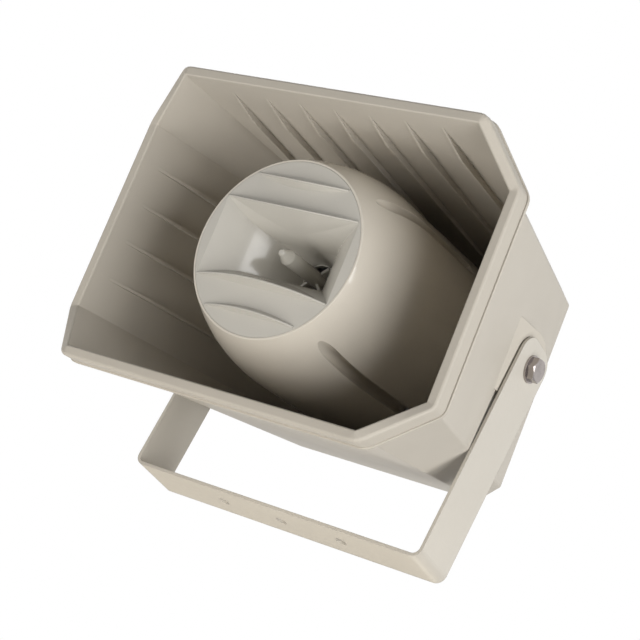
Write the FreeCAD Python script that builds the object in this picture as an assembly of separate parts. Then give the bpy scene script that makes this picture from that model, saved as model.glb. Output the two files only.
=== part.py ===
import FreeCAD, Part
import math
import os

os.makedirs("parts", exist_ok=True)
V = FreeCAD.Vector

# Two-way horn loudspeaker on a U bracket, in millimetres. The bracket stands upright with the
# outer face of its base at z = 0. The horn is drawn level, in its own frame: its mouth in the
# plane y = 0, its axis along +Y and z = 0, and is then hung in the bracket.

# Bracket
strap_width = 44.0
strap_thickness = 2.3
pivot_height = 161.7
bend_radius = 5.0
tip_above_pivot = 19.0
tip_corner_radius = 14.0
base_hole_pitch = 53.0
base_hole_d = 8.5
horn_droop = 10.5

# Horn flare, inside sizes
mouth_half_width = 150.0
mouth_half_height = 105.5
mouth_cut_width = 26.5
mouth_cut_height = 33.2
side_set_back = 22.1
side_slope = 0.2487
top_slope = 0.081
back_cut_width = 12.5
horn_depth = 249.8
wall = 2.8
back_wall = 3.2
wall_edge_radius = 3.0

# Rim around the mouth
rim_face = 5.8
rim_round = 1.6
rim_outer = 7.6
rim_depth = 12.6
rim_step = 1.6
rim_foot = 22.0
rim_edge = 0.8
rim_groove = 0.5
rim_groove_deep = 0.4
rim_lip = 0.8
rim_lip_depth = 2.0
rim_slope = 3.0
rim_corner_least = 0.3
rim_corner_growth = 1.25

# Stiffening ribs on the inside of the flare
rib_pitch = 29.7
rib_start = 15.5
rib_ramp = 35.5
rib_height = 4.5
rib_end_height = 2.4
rib_thickness = 2.2
rib_end_gap = 12.0
top_rib_count = 7
side_rib_count = 4

# Pivot hardware
pivot_to_back = 78.3
pivot_d = 10.0
pivot_clearance = 0.05
pad_rise = 8.1
pad_half_height = 27.0
friction_washer_thickness = 1.2
friction_washer_d = 38.0
pad_flange = 3.0
washer_gap = 0.05
flat_washer_d = 20.0
flat_washer_thickness = 1.6
hex_across_flats = 16.0
hex_height = 5.6
hex_bevel = 1.3
insert_d = 15.0
insert_length = 18.0
bolt_in_insert = 16.0

# Plug in the middle of the mouth
plug_front = 16.6
plug_front_r = 65.5
plug_full_r = 82.8
plug_back_share = 0.8007
plug_full_share = 0.45
plug_wall = 2.6
plug_lip_r = 64.1
plug_ledge_r = 61.2
channel_r = 4.7
channel_place_r = 76.7
channel_wall = 2.2
channel_end_wall = 37.0
channel_angle = 45.0
plug_screw_d = 5.0
plug_screw_head_d = 8.8
plug_screw_head = 3.6
plug_screw_length = 58.0
boss_ring_r = 57.5
ledge_thickness = 3.0
lug_r = 4.2
lug_length = 14.0

# High-frequency horn in the front of the plug
face_gap = 0.15
hf_plate = 2.8
hf_wall = 2.2
hf_mouth_half_width = 56.2
hf_mouth_half_height = 29.6
hf_mid_share = 0.1765
hf_mid_half_width = 35.3
hf_mid_half_height = 16.6
hf_neck_share = 0.25
hf_neck_half_width = 24.5
hf_neck_half_height = 13.8
hf_throat_share = 0.37
hf_throat_r = 12.7
hf_flange_r = 30.0
hf_flange_thickness = 4.0
lip_rise = 9.0
lip_lean = 2.9
lip_half_length = 55.0
lip_run = 30.0
lip_bead_r = 0.8
ridge_place = 49.5
ridge_half_length = 38.0
ridge_rise = 5.9
ridge_lean = 1.9
ridge_foot = 5.6

# Rod and fins in the throat
rod_r = 5.6
nipple_r = 2.4
nipple_front = 23.0
nipple_length = 8.0
fin_count = 4
fin_thickness = 1.8
fin_lead = 6.0
fin_ring_thickness = 1.0
phase_plug_gap = 0.1

# High-frequency driver
hf_magnet_r = 34.0
hf_magnet_hole_r = 22.0
hf_magnet_thickness = 14.0
hf_front_plate = 5.0
hf_rear_plate = 4.0
hf_pole_r = 17.0
hf_slot_r = 9.5
hf_coil_gap = 0.4
hf_coil_wall = 0.5
hf_coil_length = 6.0
hf_travel = 0.25
hf_dome_wall = 0.4
hf_dome_rise = 4.2
hf_edge_gap = 0.35
hf_suspension_r = 27.0
hf_cap_r = 32.0
hf_cap_depth = 13.0
hf_cap_wall = 2.0
hf_screw_place_r = 26.0
hf_screw_d = 4.0
hf_cap_screw_d = 3.0
hf_cap_screw_length = 9.0

# Low-frequency driver, firing to the back
basket_r = 66.5
basket_flange = 2.0
basket_opening_r = 58.0
basket_screw_r = 62.8
basket_depth = 34.0
basket_wall = 1.6
basket_foot_r = 38.0
basket_window_count = 6
basket_window_d = 17.0
cone_edge_r = 49.5
cone_depth = 20.0
cone_wall = 0.9
cone_front_gap = 1.0
cone_gap = 0.4
surround_rise = 4.2
surround_wall = 0.9
coil_r = 13.0
coil_wall = 0.6
coil_length = 26.0
coil_clearance = 0.7
spider_r = 36.0
spider_height = 6.0
spider_wave = 0.9
spider_wall = 0.8
lf_top_plate = 6.0
lf_magnet_r = 40.0
lf_magnet_hole_r = 20.0
lf_magnet_thickness = 14.0
lf_back_plate = 6.0
dust_cap_r = 20.0
dust_cap_rise = 5.0
dust_cap_wall = 0.6
lf_screw_d = 4.0
lf_screw_head_d = 7.0
lf_screw_head = 2.8
lf_gasket = 1.5

# Deflector on the back wall, facing the low-frequency driver
deflector_r = 44.0
deflector_rise = 16.0

# Terminal cover on the back
cover_half_width = 50.0
cover_half_height = 41.0
cover_depth = 36.0
cover_wall = 2.5
cover_corner_r = 8.0
cover_edge_r = 2.5
cover_gasket = 1.5
cover_boss_r = 5.0
cover_inset = 8.0
cover_screw_d = 4.0
cover_screw_head_d = 7.6
cover_screw_head = 2.8
cover_screw_bite = 9.0
gland_x = -20.0
gland_thread_d = 16.0
gland_flange_hex = 20.0
gland_flange_thickness = 3.5
gland_stem = 9.0
gland_cap_hex = 20.0
gland_cap_length = 12.0
gland_bore_r = 4.0
gland_seal_length = 8.0
gland_nut_hex = 21.0
gland_nut_thickness = 4.0

# What the terminal cover hides
transformer_x = 20.0
core_width = 42.0
core_height = 36.0
core_depth = 13.0
core_leg = 7.0
core_lift = 6.5
coil_overhang = 5.5
frame_wall = 1.2
frame_foot = 6.0
board_x = -24.0
board_half_width = 16.0
board_half_height = 26.0
board_thickness = 1.6
board_stand_off = 5.0
board_post_r = 3.5
capacitor_r = 6.0
capacitor_length = 26.0
terminal_width = 26.0
terminal_height = 10.0
terminal_depth = 10.0
terminal_count = 3
terminal_screw_d = 4.0

# Sizes that follow from the ones above
pivot_y = horn_depth - pivot_to_back
side_outer = mouth_half_width + wall * math.hypot(1.0, side_slope)
pad_x = side_outer - side_slope * (pivot_y - side_set_back) + pad_rise
leg_inside = pad_x + friction_washer_thickness + washer_gap
leg_outside = leg_inside + strap_thickness
leg_hole_r = pivot_d / 2.0 + pivot_clearance
under_head = leg_outside + washer_gap + flat_washer_thickness
rib_end = horn_depth - rib_end_gap
plug_back = plug_back_share * horn_depth
plug_full_y = plug_full_share * plug_back
channel_floor = plug_back - channel_end_wall
hf_mid_y = hf_mid_share * plug_back
hf_neck_y = hf_neck_share * plug_back
hf_throat_y = hf_throat_share * plug_back
plug_bulge = plug_full_r - plug_front_r
plug_arc_run = plug_full_y - plug_front
plug_arc_r = (plug_bulge ** 2 + plug_arc_run ** 2) / (2.0 * plug_bulge)
hf_driver_front = hf_throat_y + hf_flange_thickness
hf_magnet_front = hf_driver_front + hf_front_plate
hf_magnet_back = hf_magnet_front + hf_magnet_thickness
hf_driver_back = hf_magnet_back + hf_rear_plate
hf_coil_r = hf_pole_r + hf_coil_gap
hf_coil_outer = hf_coil_r + hf_coil_wall
lf_front = plug_back + lf_gasket
lf_flange_back = lf_front + basket_flange
lf_foot = lf_flange_back - basket_depth
lf_magnet_back = lf_foot - lf_top_plate
lf_magnet_front = lf_magnet_back - lf_magnet_thickness
cone_edge_y = lf_flange_back - cone_front_gap
cone_neck_y = cone_edge_y - cone_depth
coil_outer = coil_r + coil_wall
lf_pole_r = coil_r - coil_clearance
spider_y = lf_foot + basket_wall + spider_height
cover_front = horn_depth + cover_gasket
cover_back = horn_depth + cover_depth
cover_screw_x = cover_half_width - cover_inset
cover_screw_z = cover_half_height - cover_inset
cover_lug_front = horn_depth - cover_screw_bite - 2.0
gland_y = (cover_front + cover_back - cover_wall) / 2.0
board_front = horn_depth + board_stand_off
board_back = board_front + board_thickness
core_front = horn_depth + core_lift


def block(x0, x1, y0, y1, z0, z1):
    return Part.makeBox(x1 - x0, y1 - y0, z1 - z0, V(x0, y0, z0))


def along_y(radius, y0, y1, x=0.0, z=0.0):
    return Part.makeCylinder(radius, y1 - y0, V(x, y0, z), V(0, 1, 0))


def tube_y(outer, inner, y0, y1):
    return along_y(outer, y0, y1).cut(along_y(inner, y0, y1))


def along_x(radius, x0, x1, y=0.0, z=0.0):
    return Part.makeCylinder(radius, x1 - x0, V(x0, y, z), V(1, 0, 0))


def turned(points):
    """A solid of revolution about the Y axis; points are (radius, y) pairs."""
    wire = Part.makePolygon([V(r, y, 0) for r, y in points] + [V(points[0][0], points[0][1], 0)])
    return Part.Face(wire).revolve(V(0, 0, 0), V(0, 1, 0), 360)


def prism(points, vector):
    """A closed outline of vectors, pushed along a vector."""
    return Part.Face(Part.makePolygon(points + points[:1])).extrude(vector)


def mirrored(shape, normal):
    return shape.mirror(V(0, 0, 0), normal)


def both_sides(shape):
    return Part.Compound([shape, mirrored(shape, V(1, 0, 0))])


def around(shape, count, start=0.0):
    """Copies of a shape, spaced evenly about the Y axis."""
    copies = []
    for k in range(count):
        copy = shape.copy()
        copy.rotate(V(0, 0, 0), V(0, 1, 0), start + 360.0 * k / count)
        copies.append(copy)
    return copies


def hex_prism(across_flats, length):
    r = across_flats / math.sqrt(3.0)
    corners = [V(0, r * math.cos(k * math.pi / 3), r * math.sin(k * math.pi / 3)) for k in range(6)]
    return prism(corners, V(length, 0, 0))


def side_at(y):
    """Inner half width of the flare at a depth."""
    return mouth_half_width - side_slope * (y - side_set_back)


def top_at(y):
    """Inner half height of the flare at a depth."""
    return mouth_half_height - top_slope * y


# The corner faces of the flare each lie in one plane, through the two ends of the mouth's
# corner edge and the upper end of the back's corner edge.
corner_a = V(mouth_half_width - mouth_cut_width, 0, mouth_half_height)
corner_b = V(mouth_half_width, side_set_back, mouth_half_height - mouth_cut_height)
corner_c = V(side_at(horn_depth) - back_cut_width, horn_depth, top_at(horn_depth))
corner_normal = (corner_b - corner_a).cross(corner_c - corner_a).normalize()
corner_reach = corner_normal.dot(corner_a)


def flare_quarter(y, grow):
    """The outline's two corners at a depth, in the quarter where x and z are positive."""
    w = side_at(y) + grow * math.hypot(1.0, side_slope)
    h = top_at(y) + grow * math.hypot(1.0, top_slope)
    rest = corner_reach + grow - corner_normal.y * y
    top_x = (rest - corner_normal.z * h) / corner_normal.x
    side_z = (rest - corner_normal.x * w) / corner_normal.z
    return top_x, h, w, side_z


def octagon(top_x, top_y, top_z, side_x, side_y, side_z):
    """Eight corners of an outline that is the same in all four quarters."""
    return [V(top_x, top_y, top_z), V(side_x, side_y, side_z),
            V(side_x, side_y, -side_z), V(top_x, top_y, -top_z),
            V(-top_x, top_y, -top_z), V(-side_x, side_y, -side_z),
            V(-side_x, side_y, side_z), V(-top_x, top_y, top_z)]


def flare_outline(y, grow):
    x1, z1, x2, z2 = flare_quarter(y, grow)
    return octagon(x1, y, z1, x2, y, z2)


def mouth_outline(grow, depth):
    """The mouth's edge, whose upright sides are set back, grown outwards and moved back."""
    nx = mouth_cut_height / math.hypot(mouth_cut_width, mouth_cut_height)
    nz = mouth_cut_width / math.hypot(mouth_cut_width, mouth_cut_height)
    reach = nx * mouth_half_width + nz * (mouth_half_height - mouth_cut_height) + grow
    w = mouth_half_width + grow
    h = mouth_half_height + grow
    return octagon((reach - nz * h) / nx, depth, h, w, side_set_back + depth, (reach - nx * w) / nz)


def mouth_cutter(depth):
    """Everything in front of the mouth's edge, moved back: flat in the middle, slanted at the sides."""
    bend_x = mouth_half_width - mouth_cut_width
    far_x = mouth_half_width + 2.0 * mouth_cut_width
    far_y = depth + (far_x - bend_x) * side_set_back / mouth_cut_width
    z = -2.0 * mouth_half_height
    outline = [(-far_x, -horn_depth), (far_x, -horn_depth), (far_x, far_y), (bend_x, depth),
               (-bend_x, depth), (-far_x, far_y)]
    return prism([V(x, y, z) for x, y in outline], V(0, 0, -2.0 * z))


def strip(a, b, c, d):
    """A face between the edges a-b and d-c: flat where the corners allow, else ruled."""
    normal = (b - a).cross(d - a)
    if abs(normal.normalize().dot(c - a)) < 1e-6:
        return Part.Face(Part.makePolygon([a, b, c, d, a]))
    return Part.makeRuledSurface(Part.makeLine(a, b), Part.makeLine(d, c))


def skin(rings, closed):
    """A solid between outlines of equal corners; closed joins the last one to the first."""
    faces = []
    pairs = list(zip(rings, rings[1:]))
    if closed:
        pairs.append((rings[-1], rings[0]))
    else:
        faces.append(Part.Face(Part.makePolygon(rings[0] + rings[0][:1])))
        faces.append(Part.Face(Part.makePolygon(rings[-1] + rings[-1][:1])))
    for near, far in pairs:
        for k in range(len(near)):
            n = (k + 1) % len(near)
            faces.append(strip(near[k], near[n], far[n], far[k]))
    solid = Part.Solid(Part.makeShell(faces))
    solid.fix(1e-6, 1e-6, 1e-6)
    if solid.Volume < 0:
        solid.reverse()
    return solid


def rounded(corners, radius):
    """An outline whose corners are each swapped for four points on a round of that radius."""
    points = []
    for k in range(len(corners)):
        corner = corners[k]
        before = (corners[k - 1] - corner).normalize()
        after = (corners[(k + 1) % len(corners)] - corner).normalize()
        half = before.getAngle(after) / 2.0
        inwards = (before + after).normalize()
        sideways = (after - before).normalize()
        turn = math.pi / 2.0 - half
        for step in (-1.0, -1.0 / 3.0, 1.0 / 3.0, 1.0):
            back = radius / math.sin(half) - radius * math.cos(step * turn)
            points.append(corner + inwards * back + sideways * (radius * math.sin(step * turn)))
    return points


def make_rim():
    """The lip round the mouth: a flat face, a side, a groove, a low band and a slope to the wall."""
    inner = -2.0 * wall
    groove = rim_outer - rim_groove_deep
    band = rim_outer + rim_lip
    band_end = rim_depth + rim_lip_depth
    profile = [(inner, rim_edge), (0.0, rim_edge), (rim_edge, 0.0), (rim_face, 0.0),
               (rim_face + 0.3 * (rim_outer - rim_face) + 0.5, 0.3 * rim_round),
               (rim_outer - 0.15, rim_round), (rim_outer, 2.0 * rim_round),
               (rim_outer - 0.2, rim_depth - rim_groove), (groove, rim_depth - rim_groove),
               (groove, rim_depth), (band - 0.3, rim_depth), (band, rim_depth + 0.3),
               (band, band_end), (wall + rim_step, band_end + rim_slope),
               (wall + 0.3, rim_foot), (inner, rim_foot)]
    rings = []
    for grow, depth in profile:
        radius = rim_corner_least + rim_corner_growth * max(grow, 0.0)
        rings.append(rounded(mouth_outline(grow, depth), radius))
    return skin(rings, True)


def make_ribs():
    """Tapered ribs on the four walls, that start behind the mouth and run to the back."""
    def crest(wall_at, start):
        ramp = start + rib_ramp
        root = wall
        return [V(0, start, wall_at(start) + root * 0.5), V(0, start, wall_at(start) - 0.05),
                V(0, ramp, wall_at(ramp) - rib_height),
                V(0, rib_end, wall_at(rib_end) - rib_end_height),
                V(0, rib_end, wall_at(rib_end) + root * 0.5)]

    half = V(-rib_thickness / 2.0, 0, 0)
    ribs = []
    rib = prism([p + half for p in crest(top_at, rib_start)], V(rib_thickness, 0, 0))
    for k in range(top_rib_count):
        copy = rib.copy()
        copy.translate(V((k - (top_rib_count - 1) / 2.0) * rib_pitch, 0, 0))
        ribs += [copy, mirrored(copy, V(0, 0, 1))]
    rib = prism([p + half for p in crest(side_at, side_set_back + rib_start)], V(rib_thickness, 0, 0))
    rib.rotate(V(0, 0, 0), V(0, 1, 0), 90)
    for k in range(side_rib_count):
        copy = rib.copy()
        copy.translate(V(0, 0, (k - (side_rib_count - 1) / 2.0) * rib_pitch))
        ribs += [copy, mirrored(copy, V(1, 0, 0))]
    return ribs


def make_pad():
    """The flat seat on a side wall that a bracket leg turns on, round the pivot and square in front."""
    back = along_x(pad_half_height, 0.0, pad_x, pivot_y, 0.0)
    start = pivot_y - 2.2 * pad_half_height
    front = block(0.0, pad_x, start, pivot_y, -pad_half_height, pad_half_height)
    pad = back.fuse(front)
    tub = skin([flare_outline(-20.0, wall / 2.0), flare_outline(horn_depth, wall / 2.0)], False)
    pad = pad.cut(tub)
    core = along_x(insert_d / 2.0 + pad_flange, pad_x - insert_length - pad_flange, pad_x, pivot_y, 0.0)
    return pad.fuse(core)


def make_housing():
    outer = skin([flare_outline(0.0, wall), flare_outline(horn_depth, wall)], False)
    inner = skin([flare_outline(-1.0, 0.0), flare_outline(horn_depth - back_wall, 0.0)], False)
    front = mouth_cutter(rim_depth / 2.0)
    shell = outer.cut(inner).cut(front)
    rear_edges = [e for e in shell.Edges if e.BoundBox.YMax > horn_depth - 0.1]
    shell = shell.makeFillet(wall_edge_radius, rear_edges)
    bore = skin([flare_outline(-30.0, 0.0), flare_outline(horn_depth - back_wall, 0.0)], False)
    shell = shell.fuse(make_rim().cut(bore))
    shell = shell.fuse([make_pad(), mirrored(make_pad(), V(1, 0, 0))])
    body = bore.fuse(outer)
    inside = [rib.common(body) for rib in make_ribs()]
    foot = horn_depth - back_wall / 2.0
    post = along_y(channel_r + channel_wall, plug_back, foot, 0.0, channel_place_r)
    inside += around(post, 4, channel_angle)
    inside.append(make_deflector(foot))
    for x, z in cover_screw_places():
        inside.append(along_y(cover_boss_r - 0.6, cover_lug_front, foot, x, z))
    for z in board_post_places():
        inside.append(along_y(board_post_r, foot, board_front, board_x, z))
    shell = shell.fuse(inside)
    for x, z in cover_screw_places():
        shell = shell.cut(along_y(cover_screw_d / 2.0, cover_lug_front + 1.0, horn_depth + 1.0, x, z))
    pilot_end = channel_floor + plug_screw_length + 2.0
    pilot = along_y(plug_screw_d / 2.0, plug_back - 1.0, pilot_end, 0.0, channel_place_r)
    shell = shell.cut(around_all(around(pilot, 4, channel_angle)))
    for side in (1.0, -1.0):
        hole = along_x(insert_d / 2.0, pad_x - insert_length, pad_x + 1.0, pivot_y, 0.0)
        shell = shell.cut(hole if side > 0 else mirrored(hole, V(1, 0, 0)))
    return shell.removeSplitter()


def cover_screw_places():
    return [(x, z) for x in (-cover_screw_x, cover_screw_x) for z in (-cover_screw_z, cover_screw_z)]


def board_post_places():
    reach = board_half_height - board_post_r - 1.0
    return [-reach, reach]


def make_deflector(foot):
    """A cone with hollow flanks that turns the sound outwards."""
    tip = horn_depth - back_wall - deflector_rise
    steps = 6
    flank = []
    for k in range(steps + 1):
        t = k / steps
        flank.append((deflector_r * t ** 1.6, tip + deflector_rise * t))
    return turned(flank + [(deflector_r, foot), (0.0, foot)])


def make_bracket():
    """A strap bent into a U, with rounded leg ends, pivot holes and three fixing holes in its base."""
    top = pivot_height + tip_above_pivot
    half = strap_width / 2.0
    outside = block(-leg_outside, leg_outside, -half, half, 0.0, top)
    inside = block(-leg_inside, leg_inside, -half - 1.0, half + 1.0, strap_thickness, top + 1.0)
    lower = [e for e in outside.Edges if e.BoundBox.ZMax < 0.1 and e.BoundBox.YLength > half]
    outside = outside.makeFillet(bend_radius + strap_thickness, lower)
    low = strap_thickness + 0.1
    lower = [e for e in inside.Edges if e.BoundBox.ZMax < low and e.BoundBox.YLength > half]
    strap = outside.cut(inside.makeFillet(bend_radius, lower))
    corners = [e for e in strap.Edges if e.BoundBox.ZMin > top - 0.1 and e.BoundBox.YLength < 0.1]
    strap = strap.makeFillet(tip_corner_radius, corners)
    strap = strap.cut(along_x(leg_hole_r, -leg_outside - 1.0, leg_outside + 1.0, 0.0, pivot_height))
    for k in (-1, 0, 1):
        place = V(k * base_hole_pitch, 0, -1.0)
        strap = strap.cut(Part.makeCylinder(base_hole_d / 2.0, strap_thickness + 2.0, place))
    return strap


def ring_x(outer_d, inner_d, x0, x1):
    ring = along_x(outer_d / 2.0, x0, x1, pivot_y, 0.0)
    return ring.cut(along_x(inner_d / 2.0, x0 - 1.0, x1 + 1.0, pivot_y, 0.0))


def make_friction_washers():
    ring = ring_x(friction_washer_d, pivot_d + 0.4, pad_x, leg_inside - washer_gap)
    return both_sides(ring)


def make_flat_washers():
    front = leg_outside + washer_gap
    return both_sides(ring_x(flat_washer_d, pivot_d + 0.4, front, front + flat_washer_thickness))


def make_pivot_bolts():
    """Hexagon bolts with chamfered heads, through the legs into the inserts."""
    under = under_head
    shank = along_x(pivot_d / 2.0, pad_x - bolt_in_insert, under, pivot_y, 0.0)
    end = [e for e in shank.Edges if e.BoundBox.XMax < pad_x - bolt_in_insert + 0.1]
    shank = shank.makeChamfer(1.0, end)
    head = hex_prism(hex_across_flats, hex_height)
    head.translate(V(under, pivot_y, 0))
    far = hex_across_flats / math.sqrt(3.0)
    bevel_start = under + hex_height - hex_bevel
    cone = Part.makeCone(far + 0.6 * hex_bevel, hex_across_flats / 2.0 - 0.4, hex_bevel,
                         V(bevel_start, pivot_y, 0), V(1, 0, 0))
    bar = along_x(far + 0.6 * hex_bevel, under, bevel_start, pivot_y, 0.0)
    return both_sides(head.common(bar.fuse(cone)).fuse(shank))


def make_inserts():
    """Brass sleeves pressed into the horn's side pads."""
    sleeve = ring_x(insert_d, pivot_d, pad_x - insert_length, pad_x)
    return both_sides(sleeve)


def barrel(inset, y_front):
    """The plug's outline, turned: a long arc that runs into a straight barrel, moved in by a wall."""
    centre_r = plug_full_r - plug_arc_r
    reach = plug_arc_r - inset

    def r_at(y):
        return centre_r + math.sqrt(reach ** 2 - (plug_full_y - y) ** 2)

    mid_y = (y_front + plug_full_y) / 2.0
    front = V(r_at(y_front), y_front, 0)
    side = V(plug_full_r - inset, plug_full_y, 0)
    foot = V(plug_full_r - inset, plug_back, 0)
    edges = [Part.makeLine(V(0, y_front, 0), front),
             Part.Arc(front, V(r_at(mid_y), mid_y, 0), side).toShape(),
             Part.makeLine(side, foot),
             Part.makeLine(foot, V(0, plug_back, 0)),
             Part.makeLine(V(0, plug_back, 0), V(0, y_front, 0))]
    return Part.Face(Part.Wire(edges)).revolve(V(0, 0, 0), V(0, 1, 0), 360)


def channel(radius, y0, y1):
    """A slot along the plug, open to the outside, with a round floor."""
    slot = along_y(radius, y0, y1, 0.0, channel_place_r)
    slot = slot.fuse(block(-radius, radius, y0, y1, channel_place_r, plug_full_r + 5.0))
    return around(slot, 4, channel_angle)


def make_plug_shell():
    """The bulging shell in the mouth, with four screw channels and a seat at each end."""
    body = barrel(0.0, plug_front)
    nose = [e for e in body.Edges if e.BoundBox.YMax < plug_front + 0.1 and e.BoundBox.XLength > plug_front_r]
    body = body.makeFillet(0.7, nose)
    hollow = barrel(plug_wall, plug_front + hf_plate + plug_wall)
    shell = body.cut(hollow)
    blanks = channel(channel_r + channel_wall, plug_front + 1.0, plug_back)
    walls = [piece.common(body) for piece in blanks]
    ledge = tube_y(plug_full_r - plug_wall / 2.0, boss_ring_r, plug_back - ledge_thickness, plug_back)
    lugs = along_y(lug_r, plug_back - lug_length, plug_back, 0.0, basket_screw_r)
    shell = shell.fuse(walls + [ledge] + around(lugs, 4))
    shell = shell.cut(around_all(channel(channel_r, plug_front - 1.0, channel_floor)))
    shell = shell.cut(along_y(plug_lip_r, plug_front - 1.0, plug_front + hf_plate))
    shell = shell.cut(along_y(plug_ledge_r, plug_front, plug_front + 14.0))
    bolt = along_y(plug_screw_d / 2.0 + 0.3, channel_floor - 1.0, plug_back + 1.0, 0.0, channel_place_r)
    pilot = along_y(lf_screw_d / 2.0, plug_back - lug_length + 2.0, plug_back + 1.0, 0.0, basket_screw_r)
    return shell.cut(around_all(around(bolt, 4, channel_angle) + around(pilot, 4))).removeSplitter()


def around_all(shapes):
    return shapes[0].fuse(shapes[1:])


def screw(diameter, head_d, head, length):
    """A pan-head screw pointing along +Y, its seat at the origin, with a cross recess."""
    shank = along_y(diameter / 2.0, -0.01, length)
    top = turned([(0.0, -head), (head_d * 0.32, -head), (head_d * 0.46, -head * 0.72),
                  (head_d * 0.5, -head * 0.35), (head_d * 0.5, 0.0), (0.0, 0.0)])
    arm = head_d * 0.28
    cross = block(-arm, arm, -head - 1.0, -head * 0.45, -head_d * 0.055, head_d * 0.055)
    other = block(-head_d * 0.055, head_d * 0.055, -head - 1.0, -head * 0.45, -arm, arm)
    return shank.fuse(top).cut(cross.fuse(other))


def make_plug_screws():
    one = screw(plug_screw_d, plug_screw_head_d, plug_screw_head, plug_screw_length)
    one.translate(V(0, channel_floor, channel_place_r))
    return Part.Compound(around(one, 4, channel_angle))


def rectangle(half_width, half_height, y):
    corners = [V(half_width, y, half_height), V(half_width, y, -half_height),
               V(-half_width, y, -half_height), V(-half_width, y, half_height)]
    return Part.makePolygon(corners + corners[:1])


def squared_circle(radius, y):
    """A circle cut into four arcs, so that it lofts cleanly to a rectangle."""
    def at(angle):
        return V(radius * math.cos(angle), y, radius * math.sin(angle))
    arcs = []
    for k in range(4):
        start = math.pi / 4.0 - k * math.pi / 2.0
        arc = Part.Arc(at(start), at(start - math.pi / 4.0), at(start - math.pi / 2.0))
        arcs.append(arc.toShape())
    return Part.Wire(arcs)


def hf_passage(grow):
    """The high-frequency horn's passage: a curved flare, then a neck down to a round throat."""
    over = 1.0
    run = hf_mid_y - plug_front
    wide = hf_mouth_half_width + over * (hf_mouth_half_width - hf_mid_half_width) / run
    high = hf_mouth_half_height + over * (hf_mouth_half_height - hf_mid_half_height) / run
    mouth = rectangle(wide + grow, high + grow, plug_front - over)
    mid = rectangle(hf_mid_half_width + grow, hf_mid_half_height + grow, hf_mid_y)
    neck_outline = rectangle(hf_neck_half_width + grow, hf_neck_half_height + grow, hf_neck_y)
    flare = Part.makeLoft([mouth, mid, neck_outline], True, False)
    round_outline = squared_circle(hf_throat_r + grow, hf_throat_y)
    neck = Part.makeLoft([neck_outline, round_outline], True, True)
    throat = along_y(hf_throat_r + grow, hf_throat_y, hf_driver_front)
    return flare.fuse([neck, throat])


def raised_lip(place, half_length, rise, lean, run, fall):
    """An eyebrow: straight at its foot, arched at its beaded crest, fading out at both ends."""
    foot_a = V(-half_length, plug_front, place)
    foot_b = V(half_length, plug_front, place)
    arc = Part.Arc(foot_a, V(0, plug_front - rise, place - lean), foot_b).toShape()
    segment = Part.Face(Part.Wire([arc, Part.makeLine(foot_b, foot_a)]))
    ring = Part.Wire(Part.makeCircle(lip_bead_r, foot_a, arc.tangentAt(arc.FirstParameter)))
    bead = Part.Wire([arc]).makePipeShell([ring], True, False)
    return segment.extrude(V(0, run, -fall)).fuse(bead)


def make_hf_horn():
    """The plug's front: a round face with a flared rectangular horn and four raised lips."""
    face = along_y(plug_lip_r - face_gap, plug_front, plug_front + hf_plate)
    face = face.fuse(hf_passage(hf_wall).cut(block(-90, 90, 0, plug_front, -90, 90)))
    flange = along_y(hf_flange_r, hf_throat_y, hf_driver_front)
    face = face.fuse(flange).cut(hf_passage(0.0))
    keep = along_y(plug_lip_r, plug_front - 2.0 * lip_rise, plug_front + hf_plate)
    slope = (hf_mouth_half_height - lip_lean - hf_mid_half_height) / (hf_mid_y - plug_front + lip_rise)
    lip = raised_lip(hf_mouth_half_height, lip_half_length, lip_rise, lip_lean, lip_run, slope * lip_run)
    lip = lip.common(along_y(plug_lip_r, 0.0, hf_mid_y))
    ridge = raised_lip(ridge_place, ridge_half_length, ridge_rise, ridge_lean, ridge_rise + hf_plate,
                       (ridge_foot - ridge_lean) * (ridge_rise + hf_plate) / ridge_rise)
    ridge = ridge.common(keep)
    face = face.fuse([lip, mirrored(lip, V(0, 0, 1)), ridge, mirrored(ridge, V(0, 0, 1))])
    seat = plug_front + hf_plate
    face = face.cut(tube_y(plug_full_r, plug_lip_r - face_gap, 0.0, seat))
    face = face.cut(tube_y(plug_full_r, plug_ledge_r - face_gap, seat, hf_mid_y))
    pilot = along_y(hf_screw_d / 2.0, hf_throat_y - 1.0, hf_driver_front + 1.0, 0.0, hf_screw_place_r)
    return face.cut(around_all(around(pilot, 4, channel_angle))).removeSplitter()


def make_phase_plug():
    """A rod with a stepped nose on the throat's axis, held by four fins in a thin ring."""
    foot = hf_driver_front - 0.5
    nose = nipple_front + nipple_length
    rod = turned([(0.0, nipple_front), (nipple_r * 0.7, nipple_front), (nipple_r, nipple_front + 0.9),
                  (nipple_r + 0.6, nipple_front + 3.2), (rod_r - 0.9, nose - 0.6), (rod_r, nose + 1.2),
                  (rod_r, foot), (0.0, foot)])
    ring_r = hf_throat_r - phase_plug_gap
    ring_front = hf_throat_y + 0.4
    ring = tube_y(ring_r, ring_r - fin_ring_thickness, ring_front, foot)
    half = fin_thickness / 2.0
    fin = block(rod_r - 0.5, ring_r - 0.4, ring_front - fin_lead, foot, -half, half)
    return rod.fuse([ring] + around(fin, fin_count, 45.0)).removeSplitter()


def screws_around(one, place_r, y, start):
    one.translate(V(0, y, place_r))
    return Part.Compound(around(one, 4, start))


def make_hf_screws():
    """Screws through the horn's flange into the driver's front plate."""
    one = screw(hf_screw_d, 7.0, 2.6, hf_flange_thickness + hf_front_plate - 0.5)
    return screws_around(one, hf_screw_place_r, hf_throat_y, 45.0)


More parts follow.
